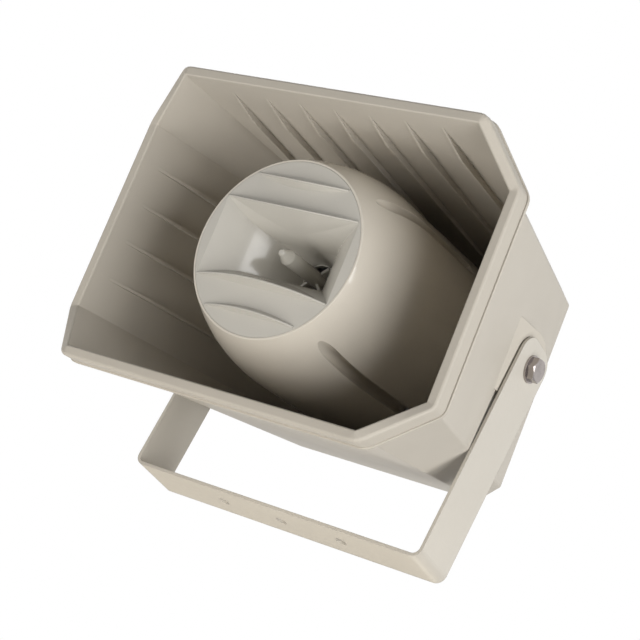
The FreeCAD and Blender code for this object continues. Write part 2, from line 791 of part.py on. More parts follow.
def make_hf_pole_plate():
    """The front steel plate with the hollow pole that carries the sound forward."""
    inner = hf_slot_r
    tip = hf_driver_back - hf_travel - 0.6
    plate = turned([(hf_throat_r, hf_driver_front), (hf_magnet_r - 2.0, hf_driver_front),
                    (hf_magnet_r - 2.0, hf_magnet_front), (hf_pole_r, hf_magnet_front),
                    (hf_pole_r, tip), (inner, tip - 2.0)])
    hole = along_y(hf_screw_d / 2.0, hf_driver_front - 1.0, hf_magnet_front + 1.0, 0.0, hf_screw_place_r)
    return plate.cut(around_all(around(hole, 4, channel_angle)))


def make_hf_magnet():
    return tube_y(hf_magnet_r, hf_magnet_hole_r, hf_magnet_front, hf_magnet_back)


def make_hf_rear_plate():
    """The rear steel plate, whose hole and the pole leave the gap that the coil moves in."""
    plate = tube_y(hf_magnet_r - 2.0, hf_coil_outer + hf_coil_gap, hf_magnet_back, hf_driver_back)
    hole = along_y(hf_cap_screw_d / 2.0, hf_magnet_back - 1.0, hf_driver_back + 1.0, 0.0, hf_cap_r - 2.6)
    return plate.cut(around_all(around(hole, 4)))


def dome_shell(radius, y, rise, thickness):
    """A thin turned dome with a flat edge face, bulging towards +Y."""
    sphere_r = (radius ** 2 + rise ** 2) / (2.0 * rise)
    centre = y + rise - sphere_r
    steps = 8

    def arc(r_sphere):
        reach = math.asin(radius / r_sphere)
        points = []
        for k in range(steps + 1):
            turn = reach * k / steps
            points.append((r_sphere * math.sin(turn), centre + r_sphere * math.cos(turn)))
        return points

    return turned(arc(sphere_r + thickness) + arc(sphere_r)[::-1])


def make_hf_diaphragm():
    """The moving dome behind the pole."""
    return dome_shell(hf_coil_outer, hf_driver_back, hf_dome_rise, hf_dome_wall)


def make_hf_voice_coil():
    return tube_y(hf_coil_outer, hf_coil_r, hf_driver_back - hf_coil_length, hf_driver_back)


def make_hf_suspension():
    """The clamped ring round the dome, with one half wave."""
    y = hf_driver_back
    inner = hf_coil_outer + hf_edge_gap
    wave = (hf_suspension_r - 2.0 - inner) / 2.0
    centre = inner + wave
    near = []
    far = []
    for k in range(9):
        turn = math.pi * (1.0 - k / 8.0)
        r = centre + wave * math.cos(turn)
        near.append((r, y + 0.7 + 1.2 * math.sin(turn)))
        far.append((r, y + 0.3 + 1.2 * math.sin(turn)))
    seat = [(hf_suspension_r, y + 0.7), (hf_suspension_r, y), (hf_suspension_r - 2.0, y)]
    return turned(near + seat + far[::-1])


def make_hf_rear_cap():
    """The moulded cap that closes the back of the high-frequency driver."""
    y = hf_driver_back
    inner = hf_cap_r - hf_cap_wall
    clamp = hf_suspension_r - 1.8
    back = y + hf_cap_depth
    cap = turned([(0.0, back), (hf_cap_r - 3.0, back), (hf_cap_r, back - 3.0), (hf_cap_r, y),
                  (clamp, y), (clamp, y + 3.0), (inner - 4.0, y + 6.0),
                  (inner - 4.0, back - hf_cap_wall), (0.0, back - hf_cap_wall)])
    cap = cap.cut(tube_y(hf_suspension_r, hf_suspension_r - 2.5, y - 1.0, y + 0.7))
    hole = along_y(hf_cap_screw_d / 2.0, y - 1.0, y + hf_cap_depth + 1.0, 0.0, hf_cap_r - 2.6)
    recess = along_y(3.2, y + 6.0, y + hf_cap_depth + 1.0, 0.0, hf_cap_r - 2.6)
    return cap.cut(around_all(around(hole, 4) + around(recess, 4)))


def make_hf_cap_screws():
    one = mirrored(screw(hf_cap_screw_d, 5.4, 2.2, hf_cap_screw_length), V(0, 1, 0))
    return screws_around(one, hf_cap_r - 2.6, hf_driver_back + 6.0, 0.0)


def make_lf_gasket():
    ring = tube_y(basket_r, boss_ring_r + 0.5, plug_back, lf_front)
    hole = along_y(lf_screw_d / 2.0 + 0.2, plug_back - 1.0, lf_front + 1.0, 0.0, basket_screw_r)
    return ring.cut(around_all(around(hole, 4)))


def make_lf_basket():
    """The pressed frame: a flange, a cone with round windows, a foot and the spider's ledge."""
    lip = basket_opening_r
    drop = basket_wall * 1.2
    ledge = spider_r - 3.0
    floor = lf_foot + basket_wall
    shell = turned([(lip, lf_flange_back), (basket_r, lf_flange_back), (basket_r, lf_front),
                    (lip, lf_front), (basket_foot_r, lf_foot), (lf_magnet_hole_r, lf_foot),
                    (lf_magnet_hole_r, floor), (ledge, floor), (ledge, spider_y),
                    (spider_r + 0.6, spider_y), (basket_foot_r - 0.6, lf_foot + drop),
                    (lip - drop, lf_flange_back - 0.4)])
    middle = (lf_foot + lf_front) / 2.0 + 3.0
    window = Part.makeCylinder(basket_window_d / 2.0, basket_r, V(0, middle, 0), V(0, 0, 1))
    shell = shell.cut(around_all(around(window, basket_window_count, 30.0)))
    hole = along_y(lf_screw_d / 2.0 + 0.1, lf_front - 1.0, lf_flange_back + 1.0, 0.0, basket_screw_r)
    return shell.cut(around_all(around(hole, 4)))


def make_lf_screws():
    one = mirrored(screw(lf_screw_d, lf_screw_head_d, lf_screw_head, 12.0), V(0, 1, 0))
    return screws_around(one, basket_screw_r, lf_flange_back, 0.0)


def make_lf_surround():
    """The rubber half roll between the cone's edge and the basket."""
    y = lf_flange_back
    inner = cone_edge_r + cone_gap
    outer = basket_opening_r + 0.6
    centre = (inner + outer) / 2.0
    half = (outer - inner) / 2.0
    near = []
    far = []
    for k in range(9):
        turn = math.pi * (1.0 - k / 8.0)
        near.append((centre + half * math.cos(turn), y + surround_wall + surround_rise * math.sin(turn)))
        far.append((centre + (half - surround_wall) * math.cos(turn),
                    y + (surround_rise - 0.1) * math.sin(turn)))
    seat = outer + 0.1
    return turned(near + [(seat, y + surround_wall), (seat, y)] + far[::-1])


def make_lf_cone():
    """The paper cone, glued to the coil's former at its neck."""
    neck = coil_outer
    lean = cone_wall * math.hypot(1.0, (cone_edge_r - neck) / cone_depth)
    return turned([(neck, cone_neck_y), (cone_edge_r, cone_edge_y - lean), (cone_edge_r, cone_edge_y),
                   (neck, cone_neck_y + lean)])


def make_lf_dust_cap():
    rest = cone_neck_y + cone_depth * (dust_cap_r - coil_outer) / (cone_edge_r - coil_outer)
    lean = cone_wall * math.hypot(1.0, (cone_edge_r - coil_outer) / cone_depth)
    return dome_shell(dust_cap_r, rest + lean, dust_cap_rise, dust_cap_wall)


def make_lf_voice_coil():
    return tube_y(coil_outer, coil_r, cone_neck_y + 1.5 - coil_length, cone_neck_y + 1.5)


def make_lf_spider():
    """The corrugated cloth ring that centres the coil."""
    y = spider_y
    near = []
    far = []
    inner = coil_outer + cone_gap
    waves = 4
    steps = waves * 4
    for k in range(steps + 1):
        r = inner + (spider_r - 3.8 - inner) * k / steps
        lift = spider_wave * math.sin(2.0 * math.pi * waves * k / steps)
        near.append((r, y + spider_wall + lift))
        far.append((r, y + lift))
    return turned(near + [(spider_r, y + spider_wall), (spider_r, y)] + far[::-1])


def make_lf_top_plate():
    return tube_y(lf_magnet_r - 2.0, coil_outer + coil_clearance, lf_magnet_back, lf_foot)


def make_lf_magnet():
    return tube_y(lf_magnet_r, lf_magnet_hole_r, lf_magnet_front, lf_magnet_back)


def make_lf_yoke():
    """The back plate and the pole in one turned piece."""
    front = lf_magnet_front - lf_back_plate
    return turned([(0.0, front), (lf_magnet_r - 4.0, front), (lf_magnet_r - 2.0, front + 2.0),
                   (lf_magnet_r - 2.0, lf_magnet_front), (lf_pole_r, lf_magnet_front),
                   (lf_pole_r, lf_foot), (0.0, lf_foot)])


def rounded_box(half_width, half_height, corner_r, y0, y1):
    solid = block(-half_width, half_width, y0, y1, -half_height, half_height)
    return solid.makeFillet(corner_r, [e for e in solid.Edges if e.BoundBox.YLength > 0.5 * (y1 - y0)])


def make_cover_gasket():
    ring = rounded_box(cover_half_width, cover_half_height, cover_corner_r, horn_depth, cover_front)
    inset = cover_wall + 0.6
    hole = rounded_box(cover_half_width - inset, cover_half_height - inset, cover_corner_r - inset,
                       horn_depth - 1.0, cover_front + 1.0)
    ears = [along_y(cover_boss_r, horn_depth, cover_front, x, z) for x, z in cover_screw_places()]
    holes = [along_y(cover_screw_d / 2.0 + 0.2, horn_depth - 1.0, cover_front + 1.0, x, z)
             for x, z in cover_screw_places()]
    return ring.cut(hole).fuse(ears).cut(around_all(holes)).removeSplitter()


def make_terminal_cover():
    """The moulded cover over the terminals, with four screw bosses and the gland's hole."""
    cover = rounded_box(cover_half_width, cover_half_height, cover_corner_r, cover_front, cover_back)
    cover = cover.makeFillet(cover_edge_r, [e for e in cover.Edges if e.BoundBox.YMin > cover_back - 0.1])
    hollow = rounded_box(cover_half_width - cover_wall, cover_half_height - cover_wall,
                         cover_corner_r - cover_wall, cover_front - 1.0, cover_back - cover_wall)
    bosses = [along_y(cover_boss_r, cover_front, cover_back - 1.0, x, z) for x, z in cover_screw_places()]
    cover = cover.cut(hollow).fuse(bosses)
    for x, z in cover_screw_places():
        cover = cover.cut(along_y(cover_screw_d / 2.0 + 0.2, cover_front - 1.0, cover_back + 1.0, x, z))
        cover = cover.cut(along_y(cover_screw_head_d / 2.0 + 0.3, cover_back - cover_screw_head - 0.4,
                                  cover_back + 1.0, x, z))
    hole = Part.makeCylinder(gland_thread_d / 2.0, 3.0 * cover_wall,
                             V(gland_x, gland_y, -cover_half_height - cover_wall), V(0, 0, 1))
    return cover.cut(hole).removeSplitter()


def make_cover_screws():
    seat = cover_back - cover_screw_head - 0.4
    one = mirrored(screw(cover_screw_d, cover_screw_head_d, cover_screw_head,
                         seat - horn_depth + cover_screw_bite), V(0, 1, 0))
    one.translate(V(0, seat, 0))
    copies = []
    for x, z in cover_screw_places():
        copy = one.copy()
        copy.translate(V(x, 0, z))
        copies.append(copy)
    return Part.Compound(copies)


def along_gland(radius, up, down):
    """A cylinder on the gland's axis, from above the cover's floor to below it."""
    return Part.makeCylinder(radius, up + down, V(gland_x, gland_y, -cover_half_height - down), V(0, 0, 1))


def gland_hexagon(across_flats, up, down):
    hexagon = hex_prism(across_flats, up + down)
    hexagon.rotate(V(0, 0, 0), V(0, 1, 0), -90)
    hexagon.translate(V(gland_x, gland_y, -cover_half_height - down))
    return hexagon


def make_gland_body():
    """The gland's body: a flange with flats outside, a thread through the wall and a stem below."""
    flange = gland_hexagon(gland_flange_hex, 0.0, gland_flange_thickness)
    thread_top = cover_wall + gland_nut_thickness + 1.5
    thread = along_gland(gland_thread_d / 2.0, thread_top, gland_flange_thickness)
    stem = along_gland(gland_thread_d / 2.0 - 0.5, 0.0, gland_flange_thickness + gland_stem)
    bore = along_gland(gland_bore_r + 1.2, 20.0, gland_flange_thickness + 1.0)
    cup = along_gland(gland_bore_r + 2.5, -gland_flange_thickness - gland_stem + gland_seal_length,
                      gland_flange_thickness + gland_stem + 1.0)
    return flange.fuse([thread, stem]).cut(bore.fuse(cup)).removeSplitter()


def make_gland_nut():
    nut = gland_hexagon(gland_nut_hex, cover_wall + gland_nut_thickness, -cover_wall)
    return nut.cut(along_gland(gland_thread_d / 2.0, 20.0, 0.0))


def make_gland_seal():
    """The rubber sleeve that grips a cable."""
    low = gland_flange_thickness + gland_stem
    seal = along_gland(gland_bore_r + 2.5, gland_seal_length - low, low)
    return seal.cut(along_gland(gland_bore_r, 0.0, low + 1.0))


def make_gland_cap():
    """The domed nut that squeezes the seal."""
    top = gland_flange_thickness + 0.6
    low = top + gland_cap_length
    outside = gland_hexagon(gland_cap_hex, -top, top + gland_cap_length * 0.55)
    far = gland_cap_hex / 2.0
    foot = V(gland_x, gland_y, -cover_half_height - low)
    dome = Part.makeCone(far - 4.0, far, gland_cap_length * 0.5, foot, V(0, 0, 1))
    inner = along_gland(gland_thread_d / 2.0 - 0.5, 0.0, gland_flange_thickness + gland_stem + 0.05)
    bore = along_gland(gland_bore_r + 1.0, 0.0, low + 1.0)
    return outside.fuse(dome).cut(inner.fuse(bore)).removeSplitter()


def make_transformer_core():
    """The stack of iron sheets, with two windows for the coil."""
    half_w = core_width / 2.0
    half_h = core_height / 2.0
    core = block(-half_w, half_w, core_front, core_front + core_depth, -half_h, half_h)
    inner = half_w - core_leg
    window_z = half_h - core_leg
    for side in (-1.0, 1.0):
        x0, x1 = sorted((side * core_leg, side * inner))
        core = core.cut(block(x0, x1, core_front - 1.0, core_front + core_depth + 1.0, -window_z, window_z))
    core.translate(V(transformer_x, 0, 0))
    return core


def make_transformer_coil():
    half_z = core_height / 2.0 - core_leg
    inner = core_width / 2.0 - core_leg
    y0 = core_front - coil_overhang
    y1 = core_front + core_depth + coil_overhang
    coil = block(-inner, inner, y0, y1, -half_z, half_z)
    coil = coil.makeFillet(3.0, [e for e in coil.Edges if e.BoundBox.ZLength > half_z])
    core_back = core_front + core_depth
    coil = coil.cut(block(-core_leg, core_leg, core_front, core_back, -half_z - 1.0, half_z + 1.0))
    coil.translate(V(transformer_x, 0, 0))
    return coil


def make_transformer_frame():
    """The folded strap over the core, with two feet on the back wall."""
    half_h = core_height / 2.0
    back = core_front + core_depth
    half_w = core_leg + 1.0
    strap = []
    for side in (-1.0, 1.0):
        z0, z1 = sorted((side * half_h, side * (half_h + frame_wall)))
        strap.append(block(-half_w, half_w, horn_depth, back + frame_wall, z0, z1))
        z0, z1 = sorted((side * half_h, side * (half_h + frame_foot)))
        strap.append(block(-half_w, half_w, horn_depth, horn_depth + frame_wall, z0, z1))
        z0, z1 = sorted((side * (half_h - core_leg), side * half_h))
        strap.append(block(-half_w, half_w, back, back + frame_wall, z0, z1))
    arm = strap[0].fuse(strap[1:3])
    other = strap[3].fuse(strap[4:])
    frame = Part.Compound([arm.removeSplitter(), other.removeSplitter()])
    frame.translate(V(transformer_x, 0, 0))
    return frame


def make_crossover_board():
    return block(board_x - board_half_width, board_x + board_half_width, board_front, board_back,
                 -board_half_height, board_half_height)


def make_crossover_capacitor():
    start = board_half_height - 2.0 - capacitor_length
    place = V(board_x - 6.0, board_back + capacitor_r, start)
    solid = Part.makeCylinder(capacitor_r, capacitor_length, place, V(0, 0, 1))
    return solid.makeFillet(0.8, solid.Edges[:1] + solid.Edges[2:])


def terminal_places():
    step = terminal_width / terminal_count
    return [board_x + (k - (terminal_count - 1) / 2.0) * step for k in range(terminal_count)]


def make_terminal_block():
    low = -board_half_height + 1.0
    shape = block(board_x - terminal_width / 2.0, board_x + terminal_width / 2.0, board_back,
                  board_back + terminal_depth, low, low + terminal_height)
    for x in terminal_places():
        shape = shape.cut(along_y(terminal_screw_d / 2.0, board_back + terminal_depth - 3.0,
                                  board_back + terminal_depth + 1.0, x, low + terminal_height / 2.0))
        place = V(x, board_back + terminal_depth / 2.0 - 1.0, low - 1.0)
        entry = Part.makeCylinder(1.5, 5.0, place, V(0, 0, 1))
        shape = shape.cut(entry)
    return shape


def make_terminal_screws():
    top = board_back + terminal_depth - 0.8
    mid = -board_half_height + 1.0 + terminal_height / 2.0
    screws = []
    for x in terminal_places():
        head = along_y(terminal_screw_d / 2.0, board_back + terminal_depth - 3.0, top, x, mid)
        slot = block(x - 3.0, x + 3.0, top - 0.8, top + 1.0, mid - 0.35, mid + 0.35)
        screws.append(head.cut(slot))
    return Part.Compound(screws)


BRACKET_NODES = {"u_bracket": make_bracket}
HORN_NODES = {
    "horn_housing": make_housing,
    "pivot_inserts": make_inserts,
    "pivot_bolts": make_pivot_bolts,
    "flat_washers": make_flat_washers,
    "friction_washers": make_friction_washers,
    "plug_shell": make_plug_shell,
    "plug_screws": make_plug_screws,
    "hf_horn": make_hf_horn,
    "phase_plug": make_phase_plug,
    "hf_screws": make_hf_screws,
    "hf_pole_plate": make_hf_pole_plate,
    "hf_magnet": make_hf_magnet,
    "hf_rear_plate": make_hf_rear_plate,
    "hf_diaphragm": make_hf_diaphragm,
    "hf_voice_coil": make_hf_voice_coil,
    "hf_suspension": make_hf_suspension,
    "hf_rear_cap": make_hf_rear_cap,
    "hf_cap_screws": make_hf_cap_screws,
    "lf_gasket": make_lf_gasket,
    "lf_basket": make_lf_basket,
    "lf_screws": make_lf_screws,
    "lf_surround": make_lf_surround,
    "lf_cone": make_lf_cone,
    "lf_dust_cap": make_lf_dust_cap,
    "lf_voice_coil": make_lf_voice_coil,
    "lf_spider": make_lf_spider,
    "lf_top_plate": make_lf_top_plate,
    "lf_magnet": make_lf_magnet,
    "lf_yoke": make_lf_yoke,
    "cover_gasket": make_cover_gasket,
    "terminal_cover": make_terminal_cover,
    "cover_screws": make_cover_screws,
    "gland_body": make_gland_body,
    "gland_nut": make_gland_nut,
    "gland_seal": make_gland_seal,
    "gland_cap": make_gland_cap,
    "transformer_core": make_transformer_core,
    "transformer_coil": make_transformer_coil,
    "transformer_frame": make_transformer_frame,
    "crossover_board": make_crossover_board,
    "crossover_capacitor": make_crossover_capacitor,
    "terminal_block": make_terminal_block,
    "terminal_screws": make_terminal_screws,
}


def hang(shape):
    """Moves a piece from the horn's own level frame to its place in the bracket."""
    shape.translate(V(0, -pivot_y, 0))
    shape.rotate(V(0, 0, 0), V(1, 0, 0), horn_droop)
    shape.translate(V(0, 0, pivot_height))
    return shape


def save(node, shape):
    shape.exportStep("parts/" + node + ".step")


for node, maker in BRACKET_NODES.items():
    save(node, maker())
for node, maker in HORN_NODES.items():
    save(node, hang(maker()))
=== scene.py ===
import bpy
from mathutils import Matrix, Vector

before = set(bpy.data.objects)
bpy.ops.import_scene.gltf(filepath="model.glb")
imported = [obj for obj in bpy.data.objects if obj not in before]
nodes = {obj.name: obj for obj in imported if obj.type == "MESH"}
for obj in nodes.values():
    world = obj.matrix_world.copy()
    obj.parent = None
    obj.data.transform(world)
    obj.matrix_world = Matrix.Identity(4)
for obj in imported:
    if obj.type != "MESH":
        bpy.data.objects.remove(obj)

scene = bpy.context.scene
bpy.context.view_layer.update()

WHITE = (1.0, 1.0, 1.0)


# Node materials. Lengths are in metres, and a noise's scale is in cells a metre.

class Finish:
    """A material under construction: its node tree, its shader and the object's own coordinates."""

    def __init__(self, name, rough=0.5, metallic=0.0, **sockets):
        self.material = bpy.data.materials.new(name)
        self.material.use_nodes = True
        self.tree = self.material.node_tree
        self.tree.nodes.clear()
        self.shader = self.add("ShaderNodeBsdfPrincipled")
        self.out = self.add("ShaderNodeOutputMaterial")
        self.link(self.shader.outputs["BSDF"], self.out.inputs["Surface"])
        self.where = self.add("ShaderNodeTexCoord").outputs["Object"]
        self.shader.inputs["Roughness"].default_value = rough
        self.shader.inputs["Metallic"].default_value = metallic
        for key, value in sockets.items():
            self.shader.inputs[key.replace("_", " ")].default_value = value

    def add(self, kind, **settings):
        node = self.tree.nodes.new(kind)
        for key, value in settings.items():
            setattr(node, key, value)
        return node

    def link(self, a, b):
        self.tree.links.new(a, b)

    def feed(self, value, socket):
        """Set a number or a colour on the socket, or link an output to it."""
        if isinstance(value, tuple):
            socket.default_value = (*value, 1.0)
        elif isinstance(value, float):
            socket.default_value = value
        else:
            self.link(value, socket)

    def stretched(self, scale):
        mapping = self.add("ShaderNodeMapping")
        mapping.inputs["Scale"].default_value = scale
        self.link(self.where, mapping.inputs["Vector"])
        return mapping.outputs["Vector"]

    def noise(self, scale, detail=2.0, rough=0.5, vector=None, distortion=0.0):
        node = self.add("ShaderNodeTexNoise")
        node.inputs["Scale"].default_value = scale
        node.inputs["Detail"].default_value = detail
        node.inputs["Roughness"].default_value = rough
        node.inputs["Distortion"].default_value = distortion
        self.link(vector if vector is not None else self.where, node.inputs["Vector"])
        return node.outputs["Fac"]

    def ramp(self, value, stops):
        """stops: (position, colour or grey level) pairs."""
        node = self.add("ShaderNodeValToRGB")
        while len(node.color_ramp.elements) < len(stops):
            node.color_ramp.elements.new(0.5)
        for element, (at, colour) in zip(node.color_ramp.elements, stops):
            element.position = at
            element.color = (*colour, 1.0) if isinstance(colour, tuple) else (colour, colour, colour, 1.0)
        self.link(value, node.inputs["Fac"])
        return node.outputs["Color"]

    def span(self, value, low, high, bottom, top):
        """Map low to high onto bottom to top."""
        node = self.add("ShaderNodeMapRange")
        for key, number in (("From Min", low), ("From Max", high), ("To Min", bottom), ("To Max", top)):
            node.inputs[key].default_value = number
        self.link(value, node.inputs["Value"])
        return node.outputs["Result"]

    def mixed(self, amount, a, b, how="MIX"):
        node = self.add("ShaderNodeMix", data_type="RGBA", blend_type=how)
        for value, socket in ((amount, 0), (a, 6), (b, 7)):
            self.feed(value, node.inputs[socket])
        return node.outputs[2]

    def maths(self, how, a, b):
        node = self.add("ShaderNodeMath", operation=how)
        self.feed(a, node.inputs[0])
        self.feed(b, node.inputs[1])
        return node.outputs[0]

    def colour(self, value):
        self.link(value, self.shader.inputs["Base Color"])

    def rough(self, value):
        self.link(value, self.shader.inputs["Roughness"])

    def surface(self, heights, edge=0.0):
        """heights: (value, depth) pairs, each a bump; edge rounds sharp edges by that radius."""
        normal = None
        if edge:
            bevel = self.add("ShaderNodeBevel", samples=6)
            bevel.inputs["Radius"].default_value = edge
            normal = bevel.outputs["Normal"]
        for value, depth in heights:
            bump = self.add("ShaderNodeBump")
            bump.inputs["Strength"].default_value = 1.0
            bump.inputs["Distance"].default_value = depth
            self.link(value, bump.inputs["Height"])
            if normal is not None:
                self.link(normal, bump.inputs["Normal"])
            normal = bump.outputs["Normal"]
        self.link(normal, self.shader.inputs["Normal"])


def shade(colour, k):
    return tuple(c * k for c in colour)


def moulded(name, colour, rough, grain=0.00002, waves=0.00004, edge=0.0005, **sockets):
    """Injection-moulded plastic: faint flow mottling, a fine grain and slightly uneven gloss."""
    m = Finish(name, **sockets)
    flow = m.noise(16.0, detail=3.0, rough=0.55, distortion=0.6)
    fine = m.noise(900.0, rough=0.6)
    base = m.ramp(flow, [(0.25, shade(colour, 0.965)), (0.55, colour), (0.85, shade(colour, 1.02))])
    specks = m.ramp(m.noise(2400.0, detail=1.0), [(0.30, 0.93), (0.42, 1.0)])
    m.colour(m.mixed(0.6, base, specks, "MULTIPLY"))
    m.rough(m.span(m.noise(25.0), 0.3, 0.7, rough - 0.02, rough + 0.025))
    m.surface([(m.noise(22.0, detail=1.0), waves), (fine, grain)], edge)
    return m.material


def powder_coat(name, colour, rough):
    """Powder coat on steel: an orange-peel skin with small level changes and a touch of gloss."""
    m = Finish(name)
    base = m.ramp(m.noise(11.0, detail=3.0), [(0.25, shade(colour, 0.97)), (0.8, shade(colour, 1.015))])
    specks = m.ramp(m.noise(1500.0), [(0.28, 0.9), (0.4, 1.0)])
    m.colour(m.mixed(0.5, base, specks, "MULTIPLY"))
    m.rough(m.span(m.noise(240.0, detail=3.0), 0.3, 0.7, rough - 0.05, rough + 0.06))
    m.surface([(m.noise(330.0), 0.00007), (m.noise(1400.0), 0.00003)], edge=0.0006)
    return m.material


def metal(name, colour, rough, stretch=(1.0, 1.0, 30.0), scratch=0.00001):
    """Machined or drawn metal: fine scratches one way, stains and uneven gloss."""
    m = Finish(name, metallic=1.0)
    lines = m.noise(900.0, detail=4.0, rough=0.7, vector=m.stretched(stretch))
    stain = m.noise(140.0, detail=4.0, rough=0.65)
    m.colour(m.ramp(stain, [(0.25, shade(colour, 0.8)), (0.5, colour), (0.8, shade(colour, 1.1))]))
    m.rough(m.span(m.noise(300.0, detail=3.0), 0.3, 0.7, rough - 0.06, rough + 0.08))
    m.surface([(lines, scratch)], edge=0.0003)
    return m.material


def rubbery(name, colour, rough=0.7, grain=0.00006):
    """Rubber, foam or sintered powder: a dull, cloudy surface with a coarse grain."""
    m = Finish(name)
    cloud = m.noise(70.0, detail=4.0, rough=0.6)
    m.colour(m.ramp(cloud, [(0.3, shade(colour, 0.7)), (0.7, shade(colour, 1.35))]))
    m.rough(m.span(m.noise(300.0, detail=3.0), 0.3, 0.7, rough - 0.08, rough + 0.08))
    m.surface([(m.noise(1500.0), grain)], edge=0.0004)
    return m.material


def paper_pulp(name, colour):
    """Pressed paper, with its fibres in colour and relief."""
    m = Finish(name)
    fibres = m.noise(700.0, detail=5.0, rough=0.7, distortion=1.2)
    m.colour(m.ramp(fibres, [(0.3, shade(colour, 0.6)), (0.7, shade(colour, 1.5))]))
    m.rough(m.span(fibres, 0.3, 0.7, 0.8, 0.95))
    m.surface([(fibres, 0.00015)])
    return m.material


def woven(name, colour, pitch=0.0012):
    """Plain-woven cloth, one thread a pitch."""
    m = Finish(name)
    checker = m.add("ShaderNodeTexChecker")
    checker.inputs["Scale"].default_value = 1.0 / pitch
    m.link(m.where, checker.inputs["Vector"])
    threads = checker.outputs["Fac"]
    tone = m.ramp(m.noise(90.0, detail=3.0), [(0.3, shade(colour, 0.75)), (0.7, shade(colour, 1.2))])
    m.colour(m.mixed(threads, tone, shade(colour, 0.6)))
    m.rough(m.span(threads, 0.0, 1.0, 0.7, 0.9))
    m.surface([(threads, 0.0001)])
    return m.material


BAND_SCALE = 0.314  # a wave texture's scale, times the bands' pitch


def windings(name, colour, pitch, rough, metallic):
    """Turns of wire or tape, or stacked sheets, along the horn's axis."""
    m = Finish(name, metallic=metallic)
    wave = m.add("ShaderNodeTexWave", wave_type="BANDS", bands_direction="Y")
    wave.inputs["Scale"].default_value = BAND_SCALE / pitch
    wave.inputs["Distortion"].default_value = 0.2
    m.link(m.where, wave.inputs["Vector"])
    turns = wave.outputs["Fac"]
    m.colour(m.ramp(turns, [(0.0, shade(colour, 0.45)), (0.6, colour)]))
    m.rough(m.span(m.noise(400.0), 0.3, 0.7, rough - 0.05, rough + 0.08))
    m.surface([(turns, pitch * 0.3)])
    return m.material


BEIGE = (0.51, 0.471, 0.407)
HORN = moulded("horn_moulding", BEIGE, 0.42, Specular_IOR_Level=0.15)
# The plug's colour is the housing's beige made 26 % lighter. The beige is its own, and the extra lightness
# is painted light that stands in for the lamp light and reflection its flank misses here.
PLUG = moulded("plug_moulding", shade(BEIGE, 1.26), 0.07, grain=0.000001, waves=0.00001)
FACE = moulded("face_moulding", (0.525, 0.502, 0.45), 0.12, grain=0.000002, waves=0.00001, edge=0.001)
ROD = moulded("rod_moulding", (0.50, 0.478, 0.425), 0.14, grain=0.000003, waves=0.00001)
COVER = moulded("cover_moulding", shade(BEIGE, 0.98), 0.45, grain=0.00004)
GLAND = moulded("gland_moulding", (0.50, 0.475, 0.41), 0.42)
STEEL_COAT = powder_coat("bracket_coat", (0.52, 0.487, 0.428), 0.42)
STAINLESS = metal("stainless_steel", (0.38, 0.345, 0.33), 0.18)
ZINC = metal("zinc_plated_steel", (0.52, 0.52, 0.53), 0.34)
PLATED = metal("plated_plate", (0.42, 0.42, 0.43), 0.42, scratch=0.00002)
BRASS = metal("turned_brass", (0.72, 0.52, 0.24), 0.30, stretch=(60.0, 1.0, 1.0))
TITANIUM = metal("dome_foil", (0.50, 0.47, 0.43), 0.32)
FERRITE = rubbery("sintered_ferrite", (0.06, 0.06, 0.064), 0.72, grain=0.0002)
RUBBER = rubbery("black_rubber", (0.022, 0.022, 0.023))
FOAM = rubbery("foam_rubber", (0.04, 0.04, 0.042), 0.9, grain=0.0004)
BLACK = moulded("black_moulding", (0.025, 0.025, 0.027), 0.45)
BLACK_COAT = powder_coat("black_coat", (0.025, 0.025, 0.027), 0.45)
PAPER = paper_pulp("cone_paper", (0.045, 0.043, 0.042))
CLOTH = woven("spider_cloth", (0.50, 0.36, 0.14))
FILM = moulded("suspension_film", (0.42, 0.32, 0.10), 0.25)
COIL = windings("copper_windings", (0.70, 0.28, 0.12), pitch=0.0004, rough=0.35, metallic=1.0)
TAPE = windings("taped_winding", (0.55, 0.38, 0.05), pitch=0.006, rough=0.45, metallic=0.0)
IRON = windings("core_sheets", (0.22, 0.215, 0.21), pitch=0.0005, rough=0.5, metallic=0.8)
BOARD = moulded("circuit_board", (0.03, 0.17, 0.06), 0.40)
SLEEVE = moulded("capacitor_sleeve", (0.03, 0.05, 0.22), 0.28)

FINISHES = {
    "u_bracket": STEEL_COAT, "horn_housing": HORN, "pivot_inserts": BRASS, "pivot_bolts": STAINLESS,
    "flat_washers": STAINLESS, "friction_washers": RUBBER, "plug_shell": PLUG, "plug_screws": ZINC,
    "hf_horn": FACE, "phase_plug": ROD, "hf_screws": ZINC, "hf_pole_plate": PLATED, "hf_magnet": FERRITE,
    "hf_rear_plate": PLATED, "hf_diaphragm": TITANIUM, "hf_voice_coil": COIL, "hf_suspension": FILM,
    "hf_rear_cap": BLACK, "hf_cap_screws": ZINC, "lf_gasket": FOAM, "lf_basket": BLACK_COAT,
    "lf_screws": ZINC, "lf_surround": RUBBER, "lf_cone": PAPER, "lf_dust_cap": PAPER,
    "lf_voice_coil": COIL, "lf_spider": CLOTH, "lf_top_plate": PLATED, "lf_magnet": FERRITE,
    "lf_yoke": PLATED, "cover_gasket": FOAM, "terminal_cover": COVER, "cover_screws": STAINLESS,
    "gland_body": GLAND, "gland_nut": GLAND, "gland_seal": RUBBER, "gland_cap": GLAND,
    "transformer_core": IRON, "transformer_coil": TAPE, "transformer_frame": PLATED,
    "crossover_board": BOARD, "crossover_capacitor": SLEEVE, "terminal_block": BLACK,
    "terminal_screws": ZINC,
}
for name, finish in FINISHES.items():
    for place in nodes[name].material_slots:
        place.material = finish


# Stage: floor, world, camera and lamps

FLOOR_REACH = 4.0    # from the middle to the floor's edges
FLOOR_DROP = 0.0006  # the floor lies this far under the bracket's base, so the two don't flicker
FLOOR_GLOW = 0.42    # added to what camera, glossy and transmission rays see of the floor
GLOW_FROM = 0.05     # a surface nearer to the floor than this doesn't mirror the glow
SKY_LIGHT = 0.01


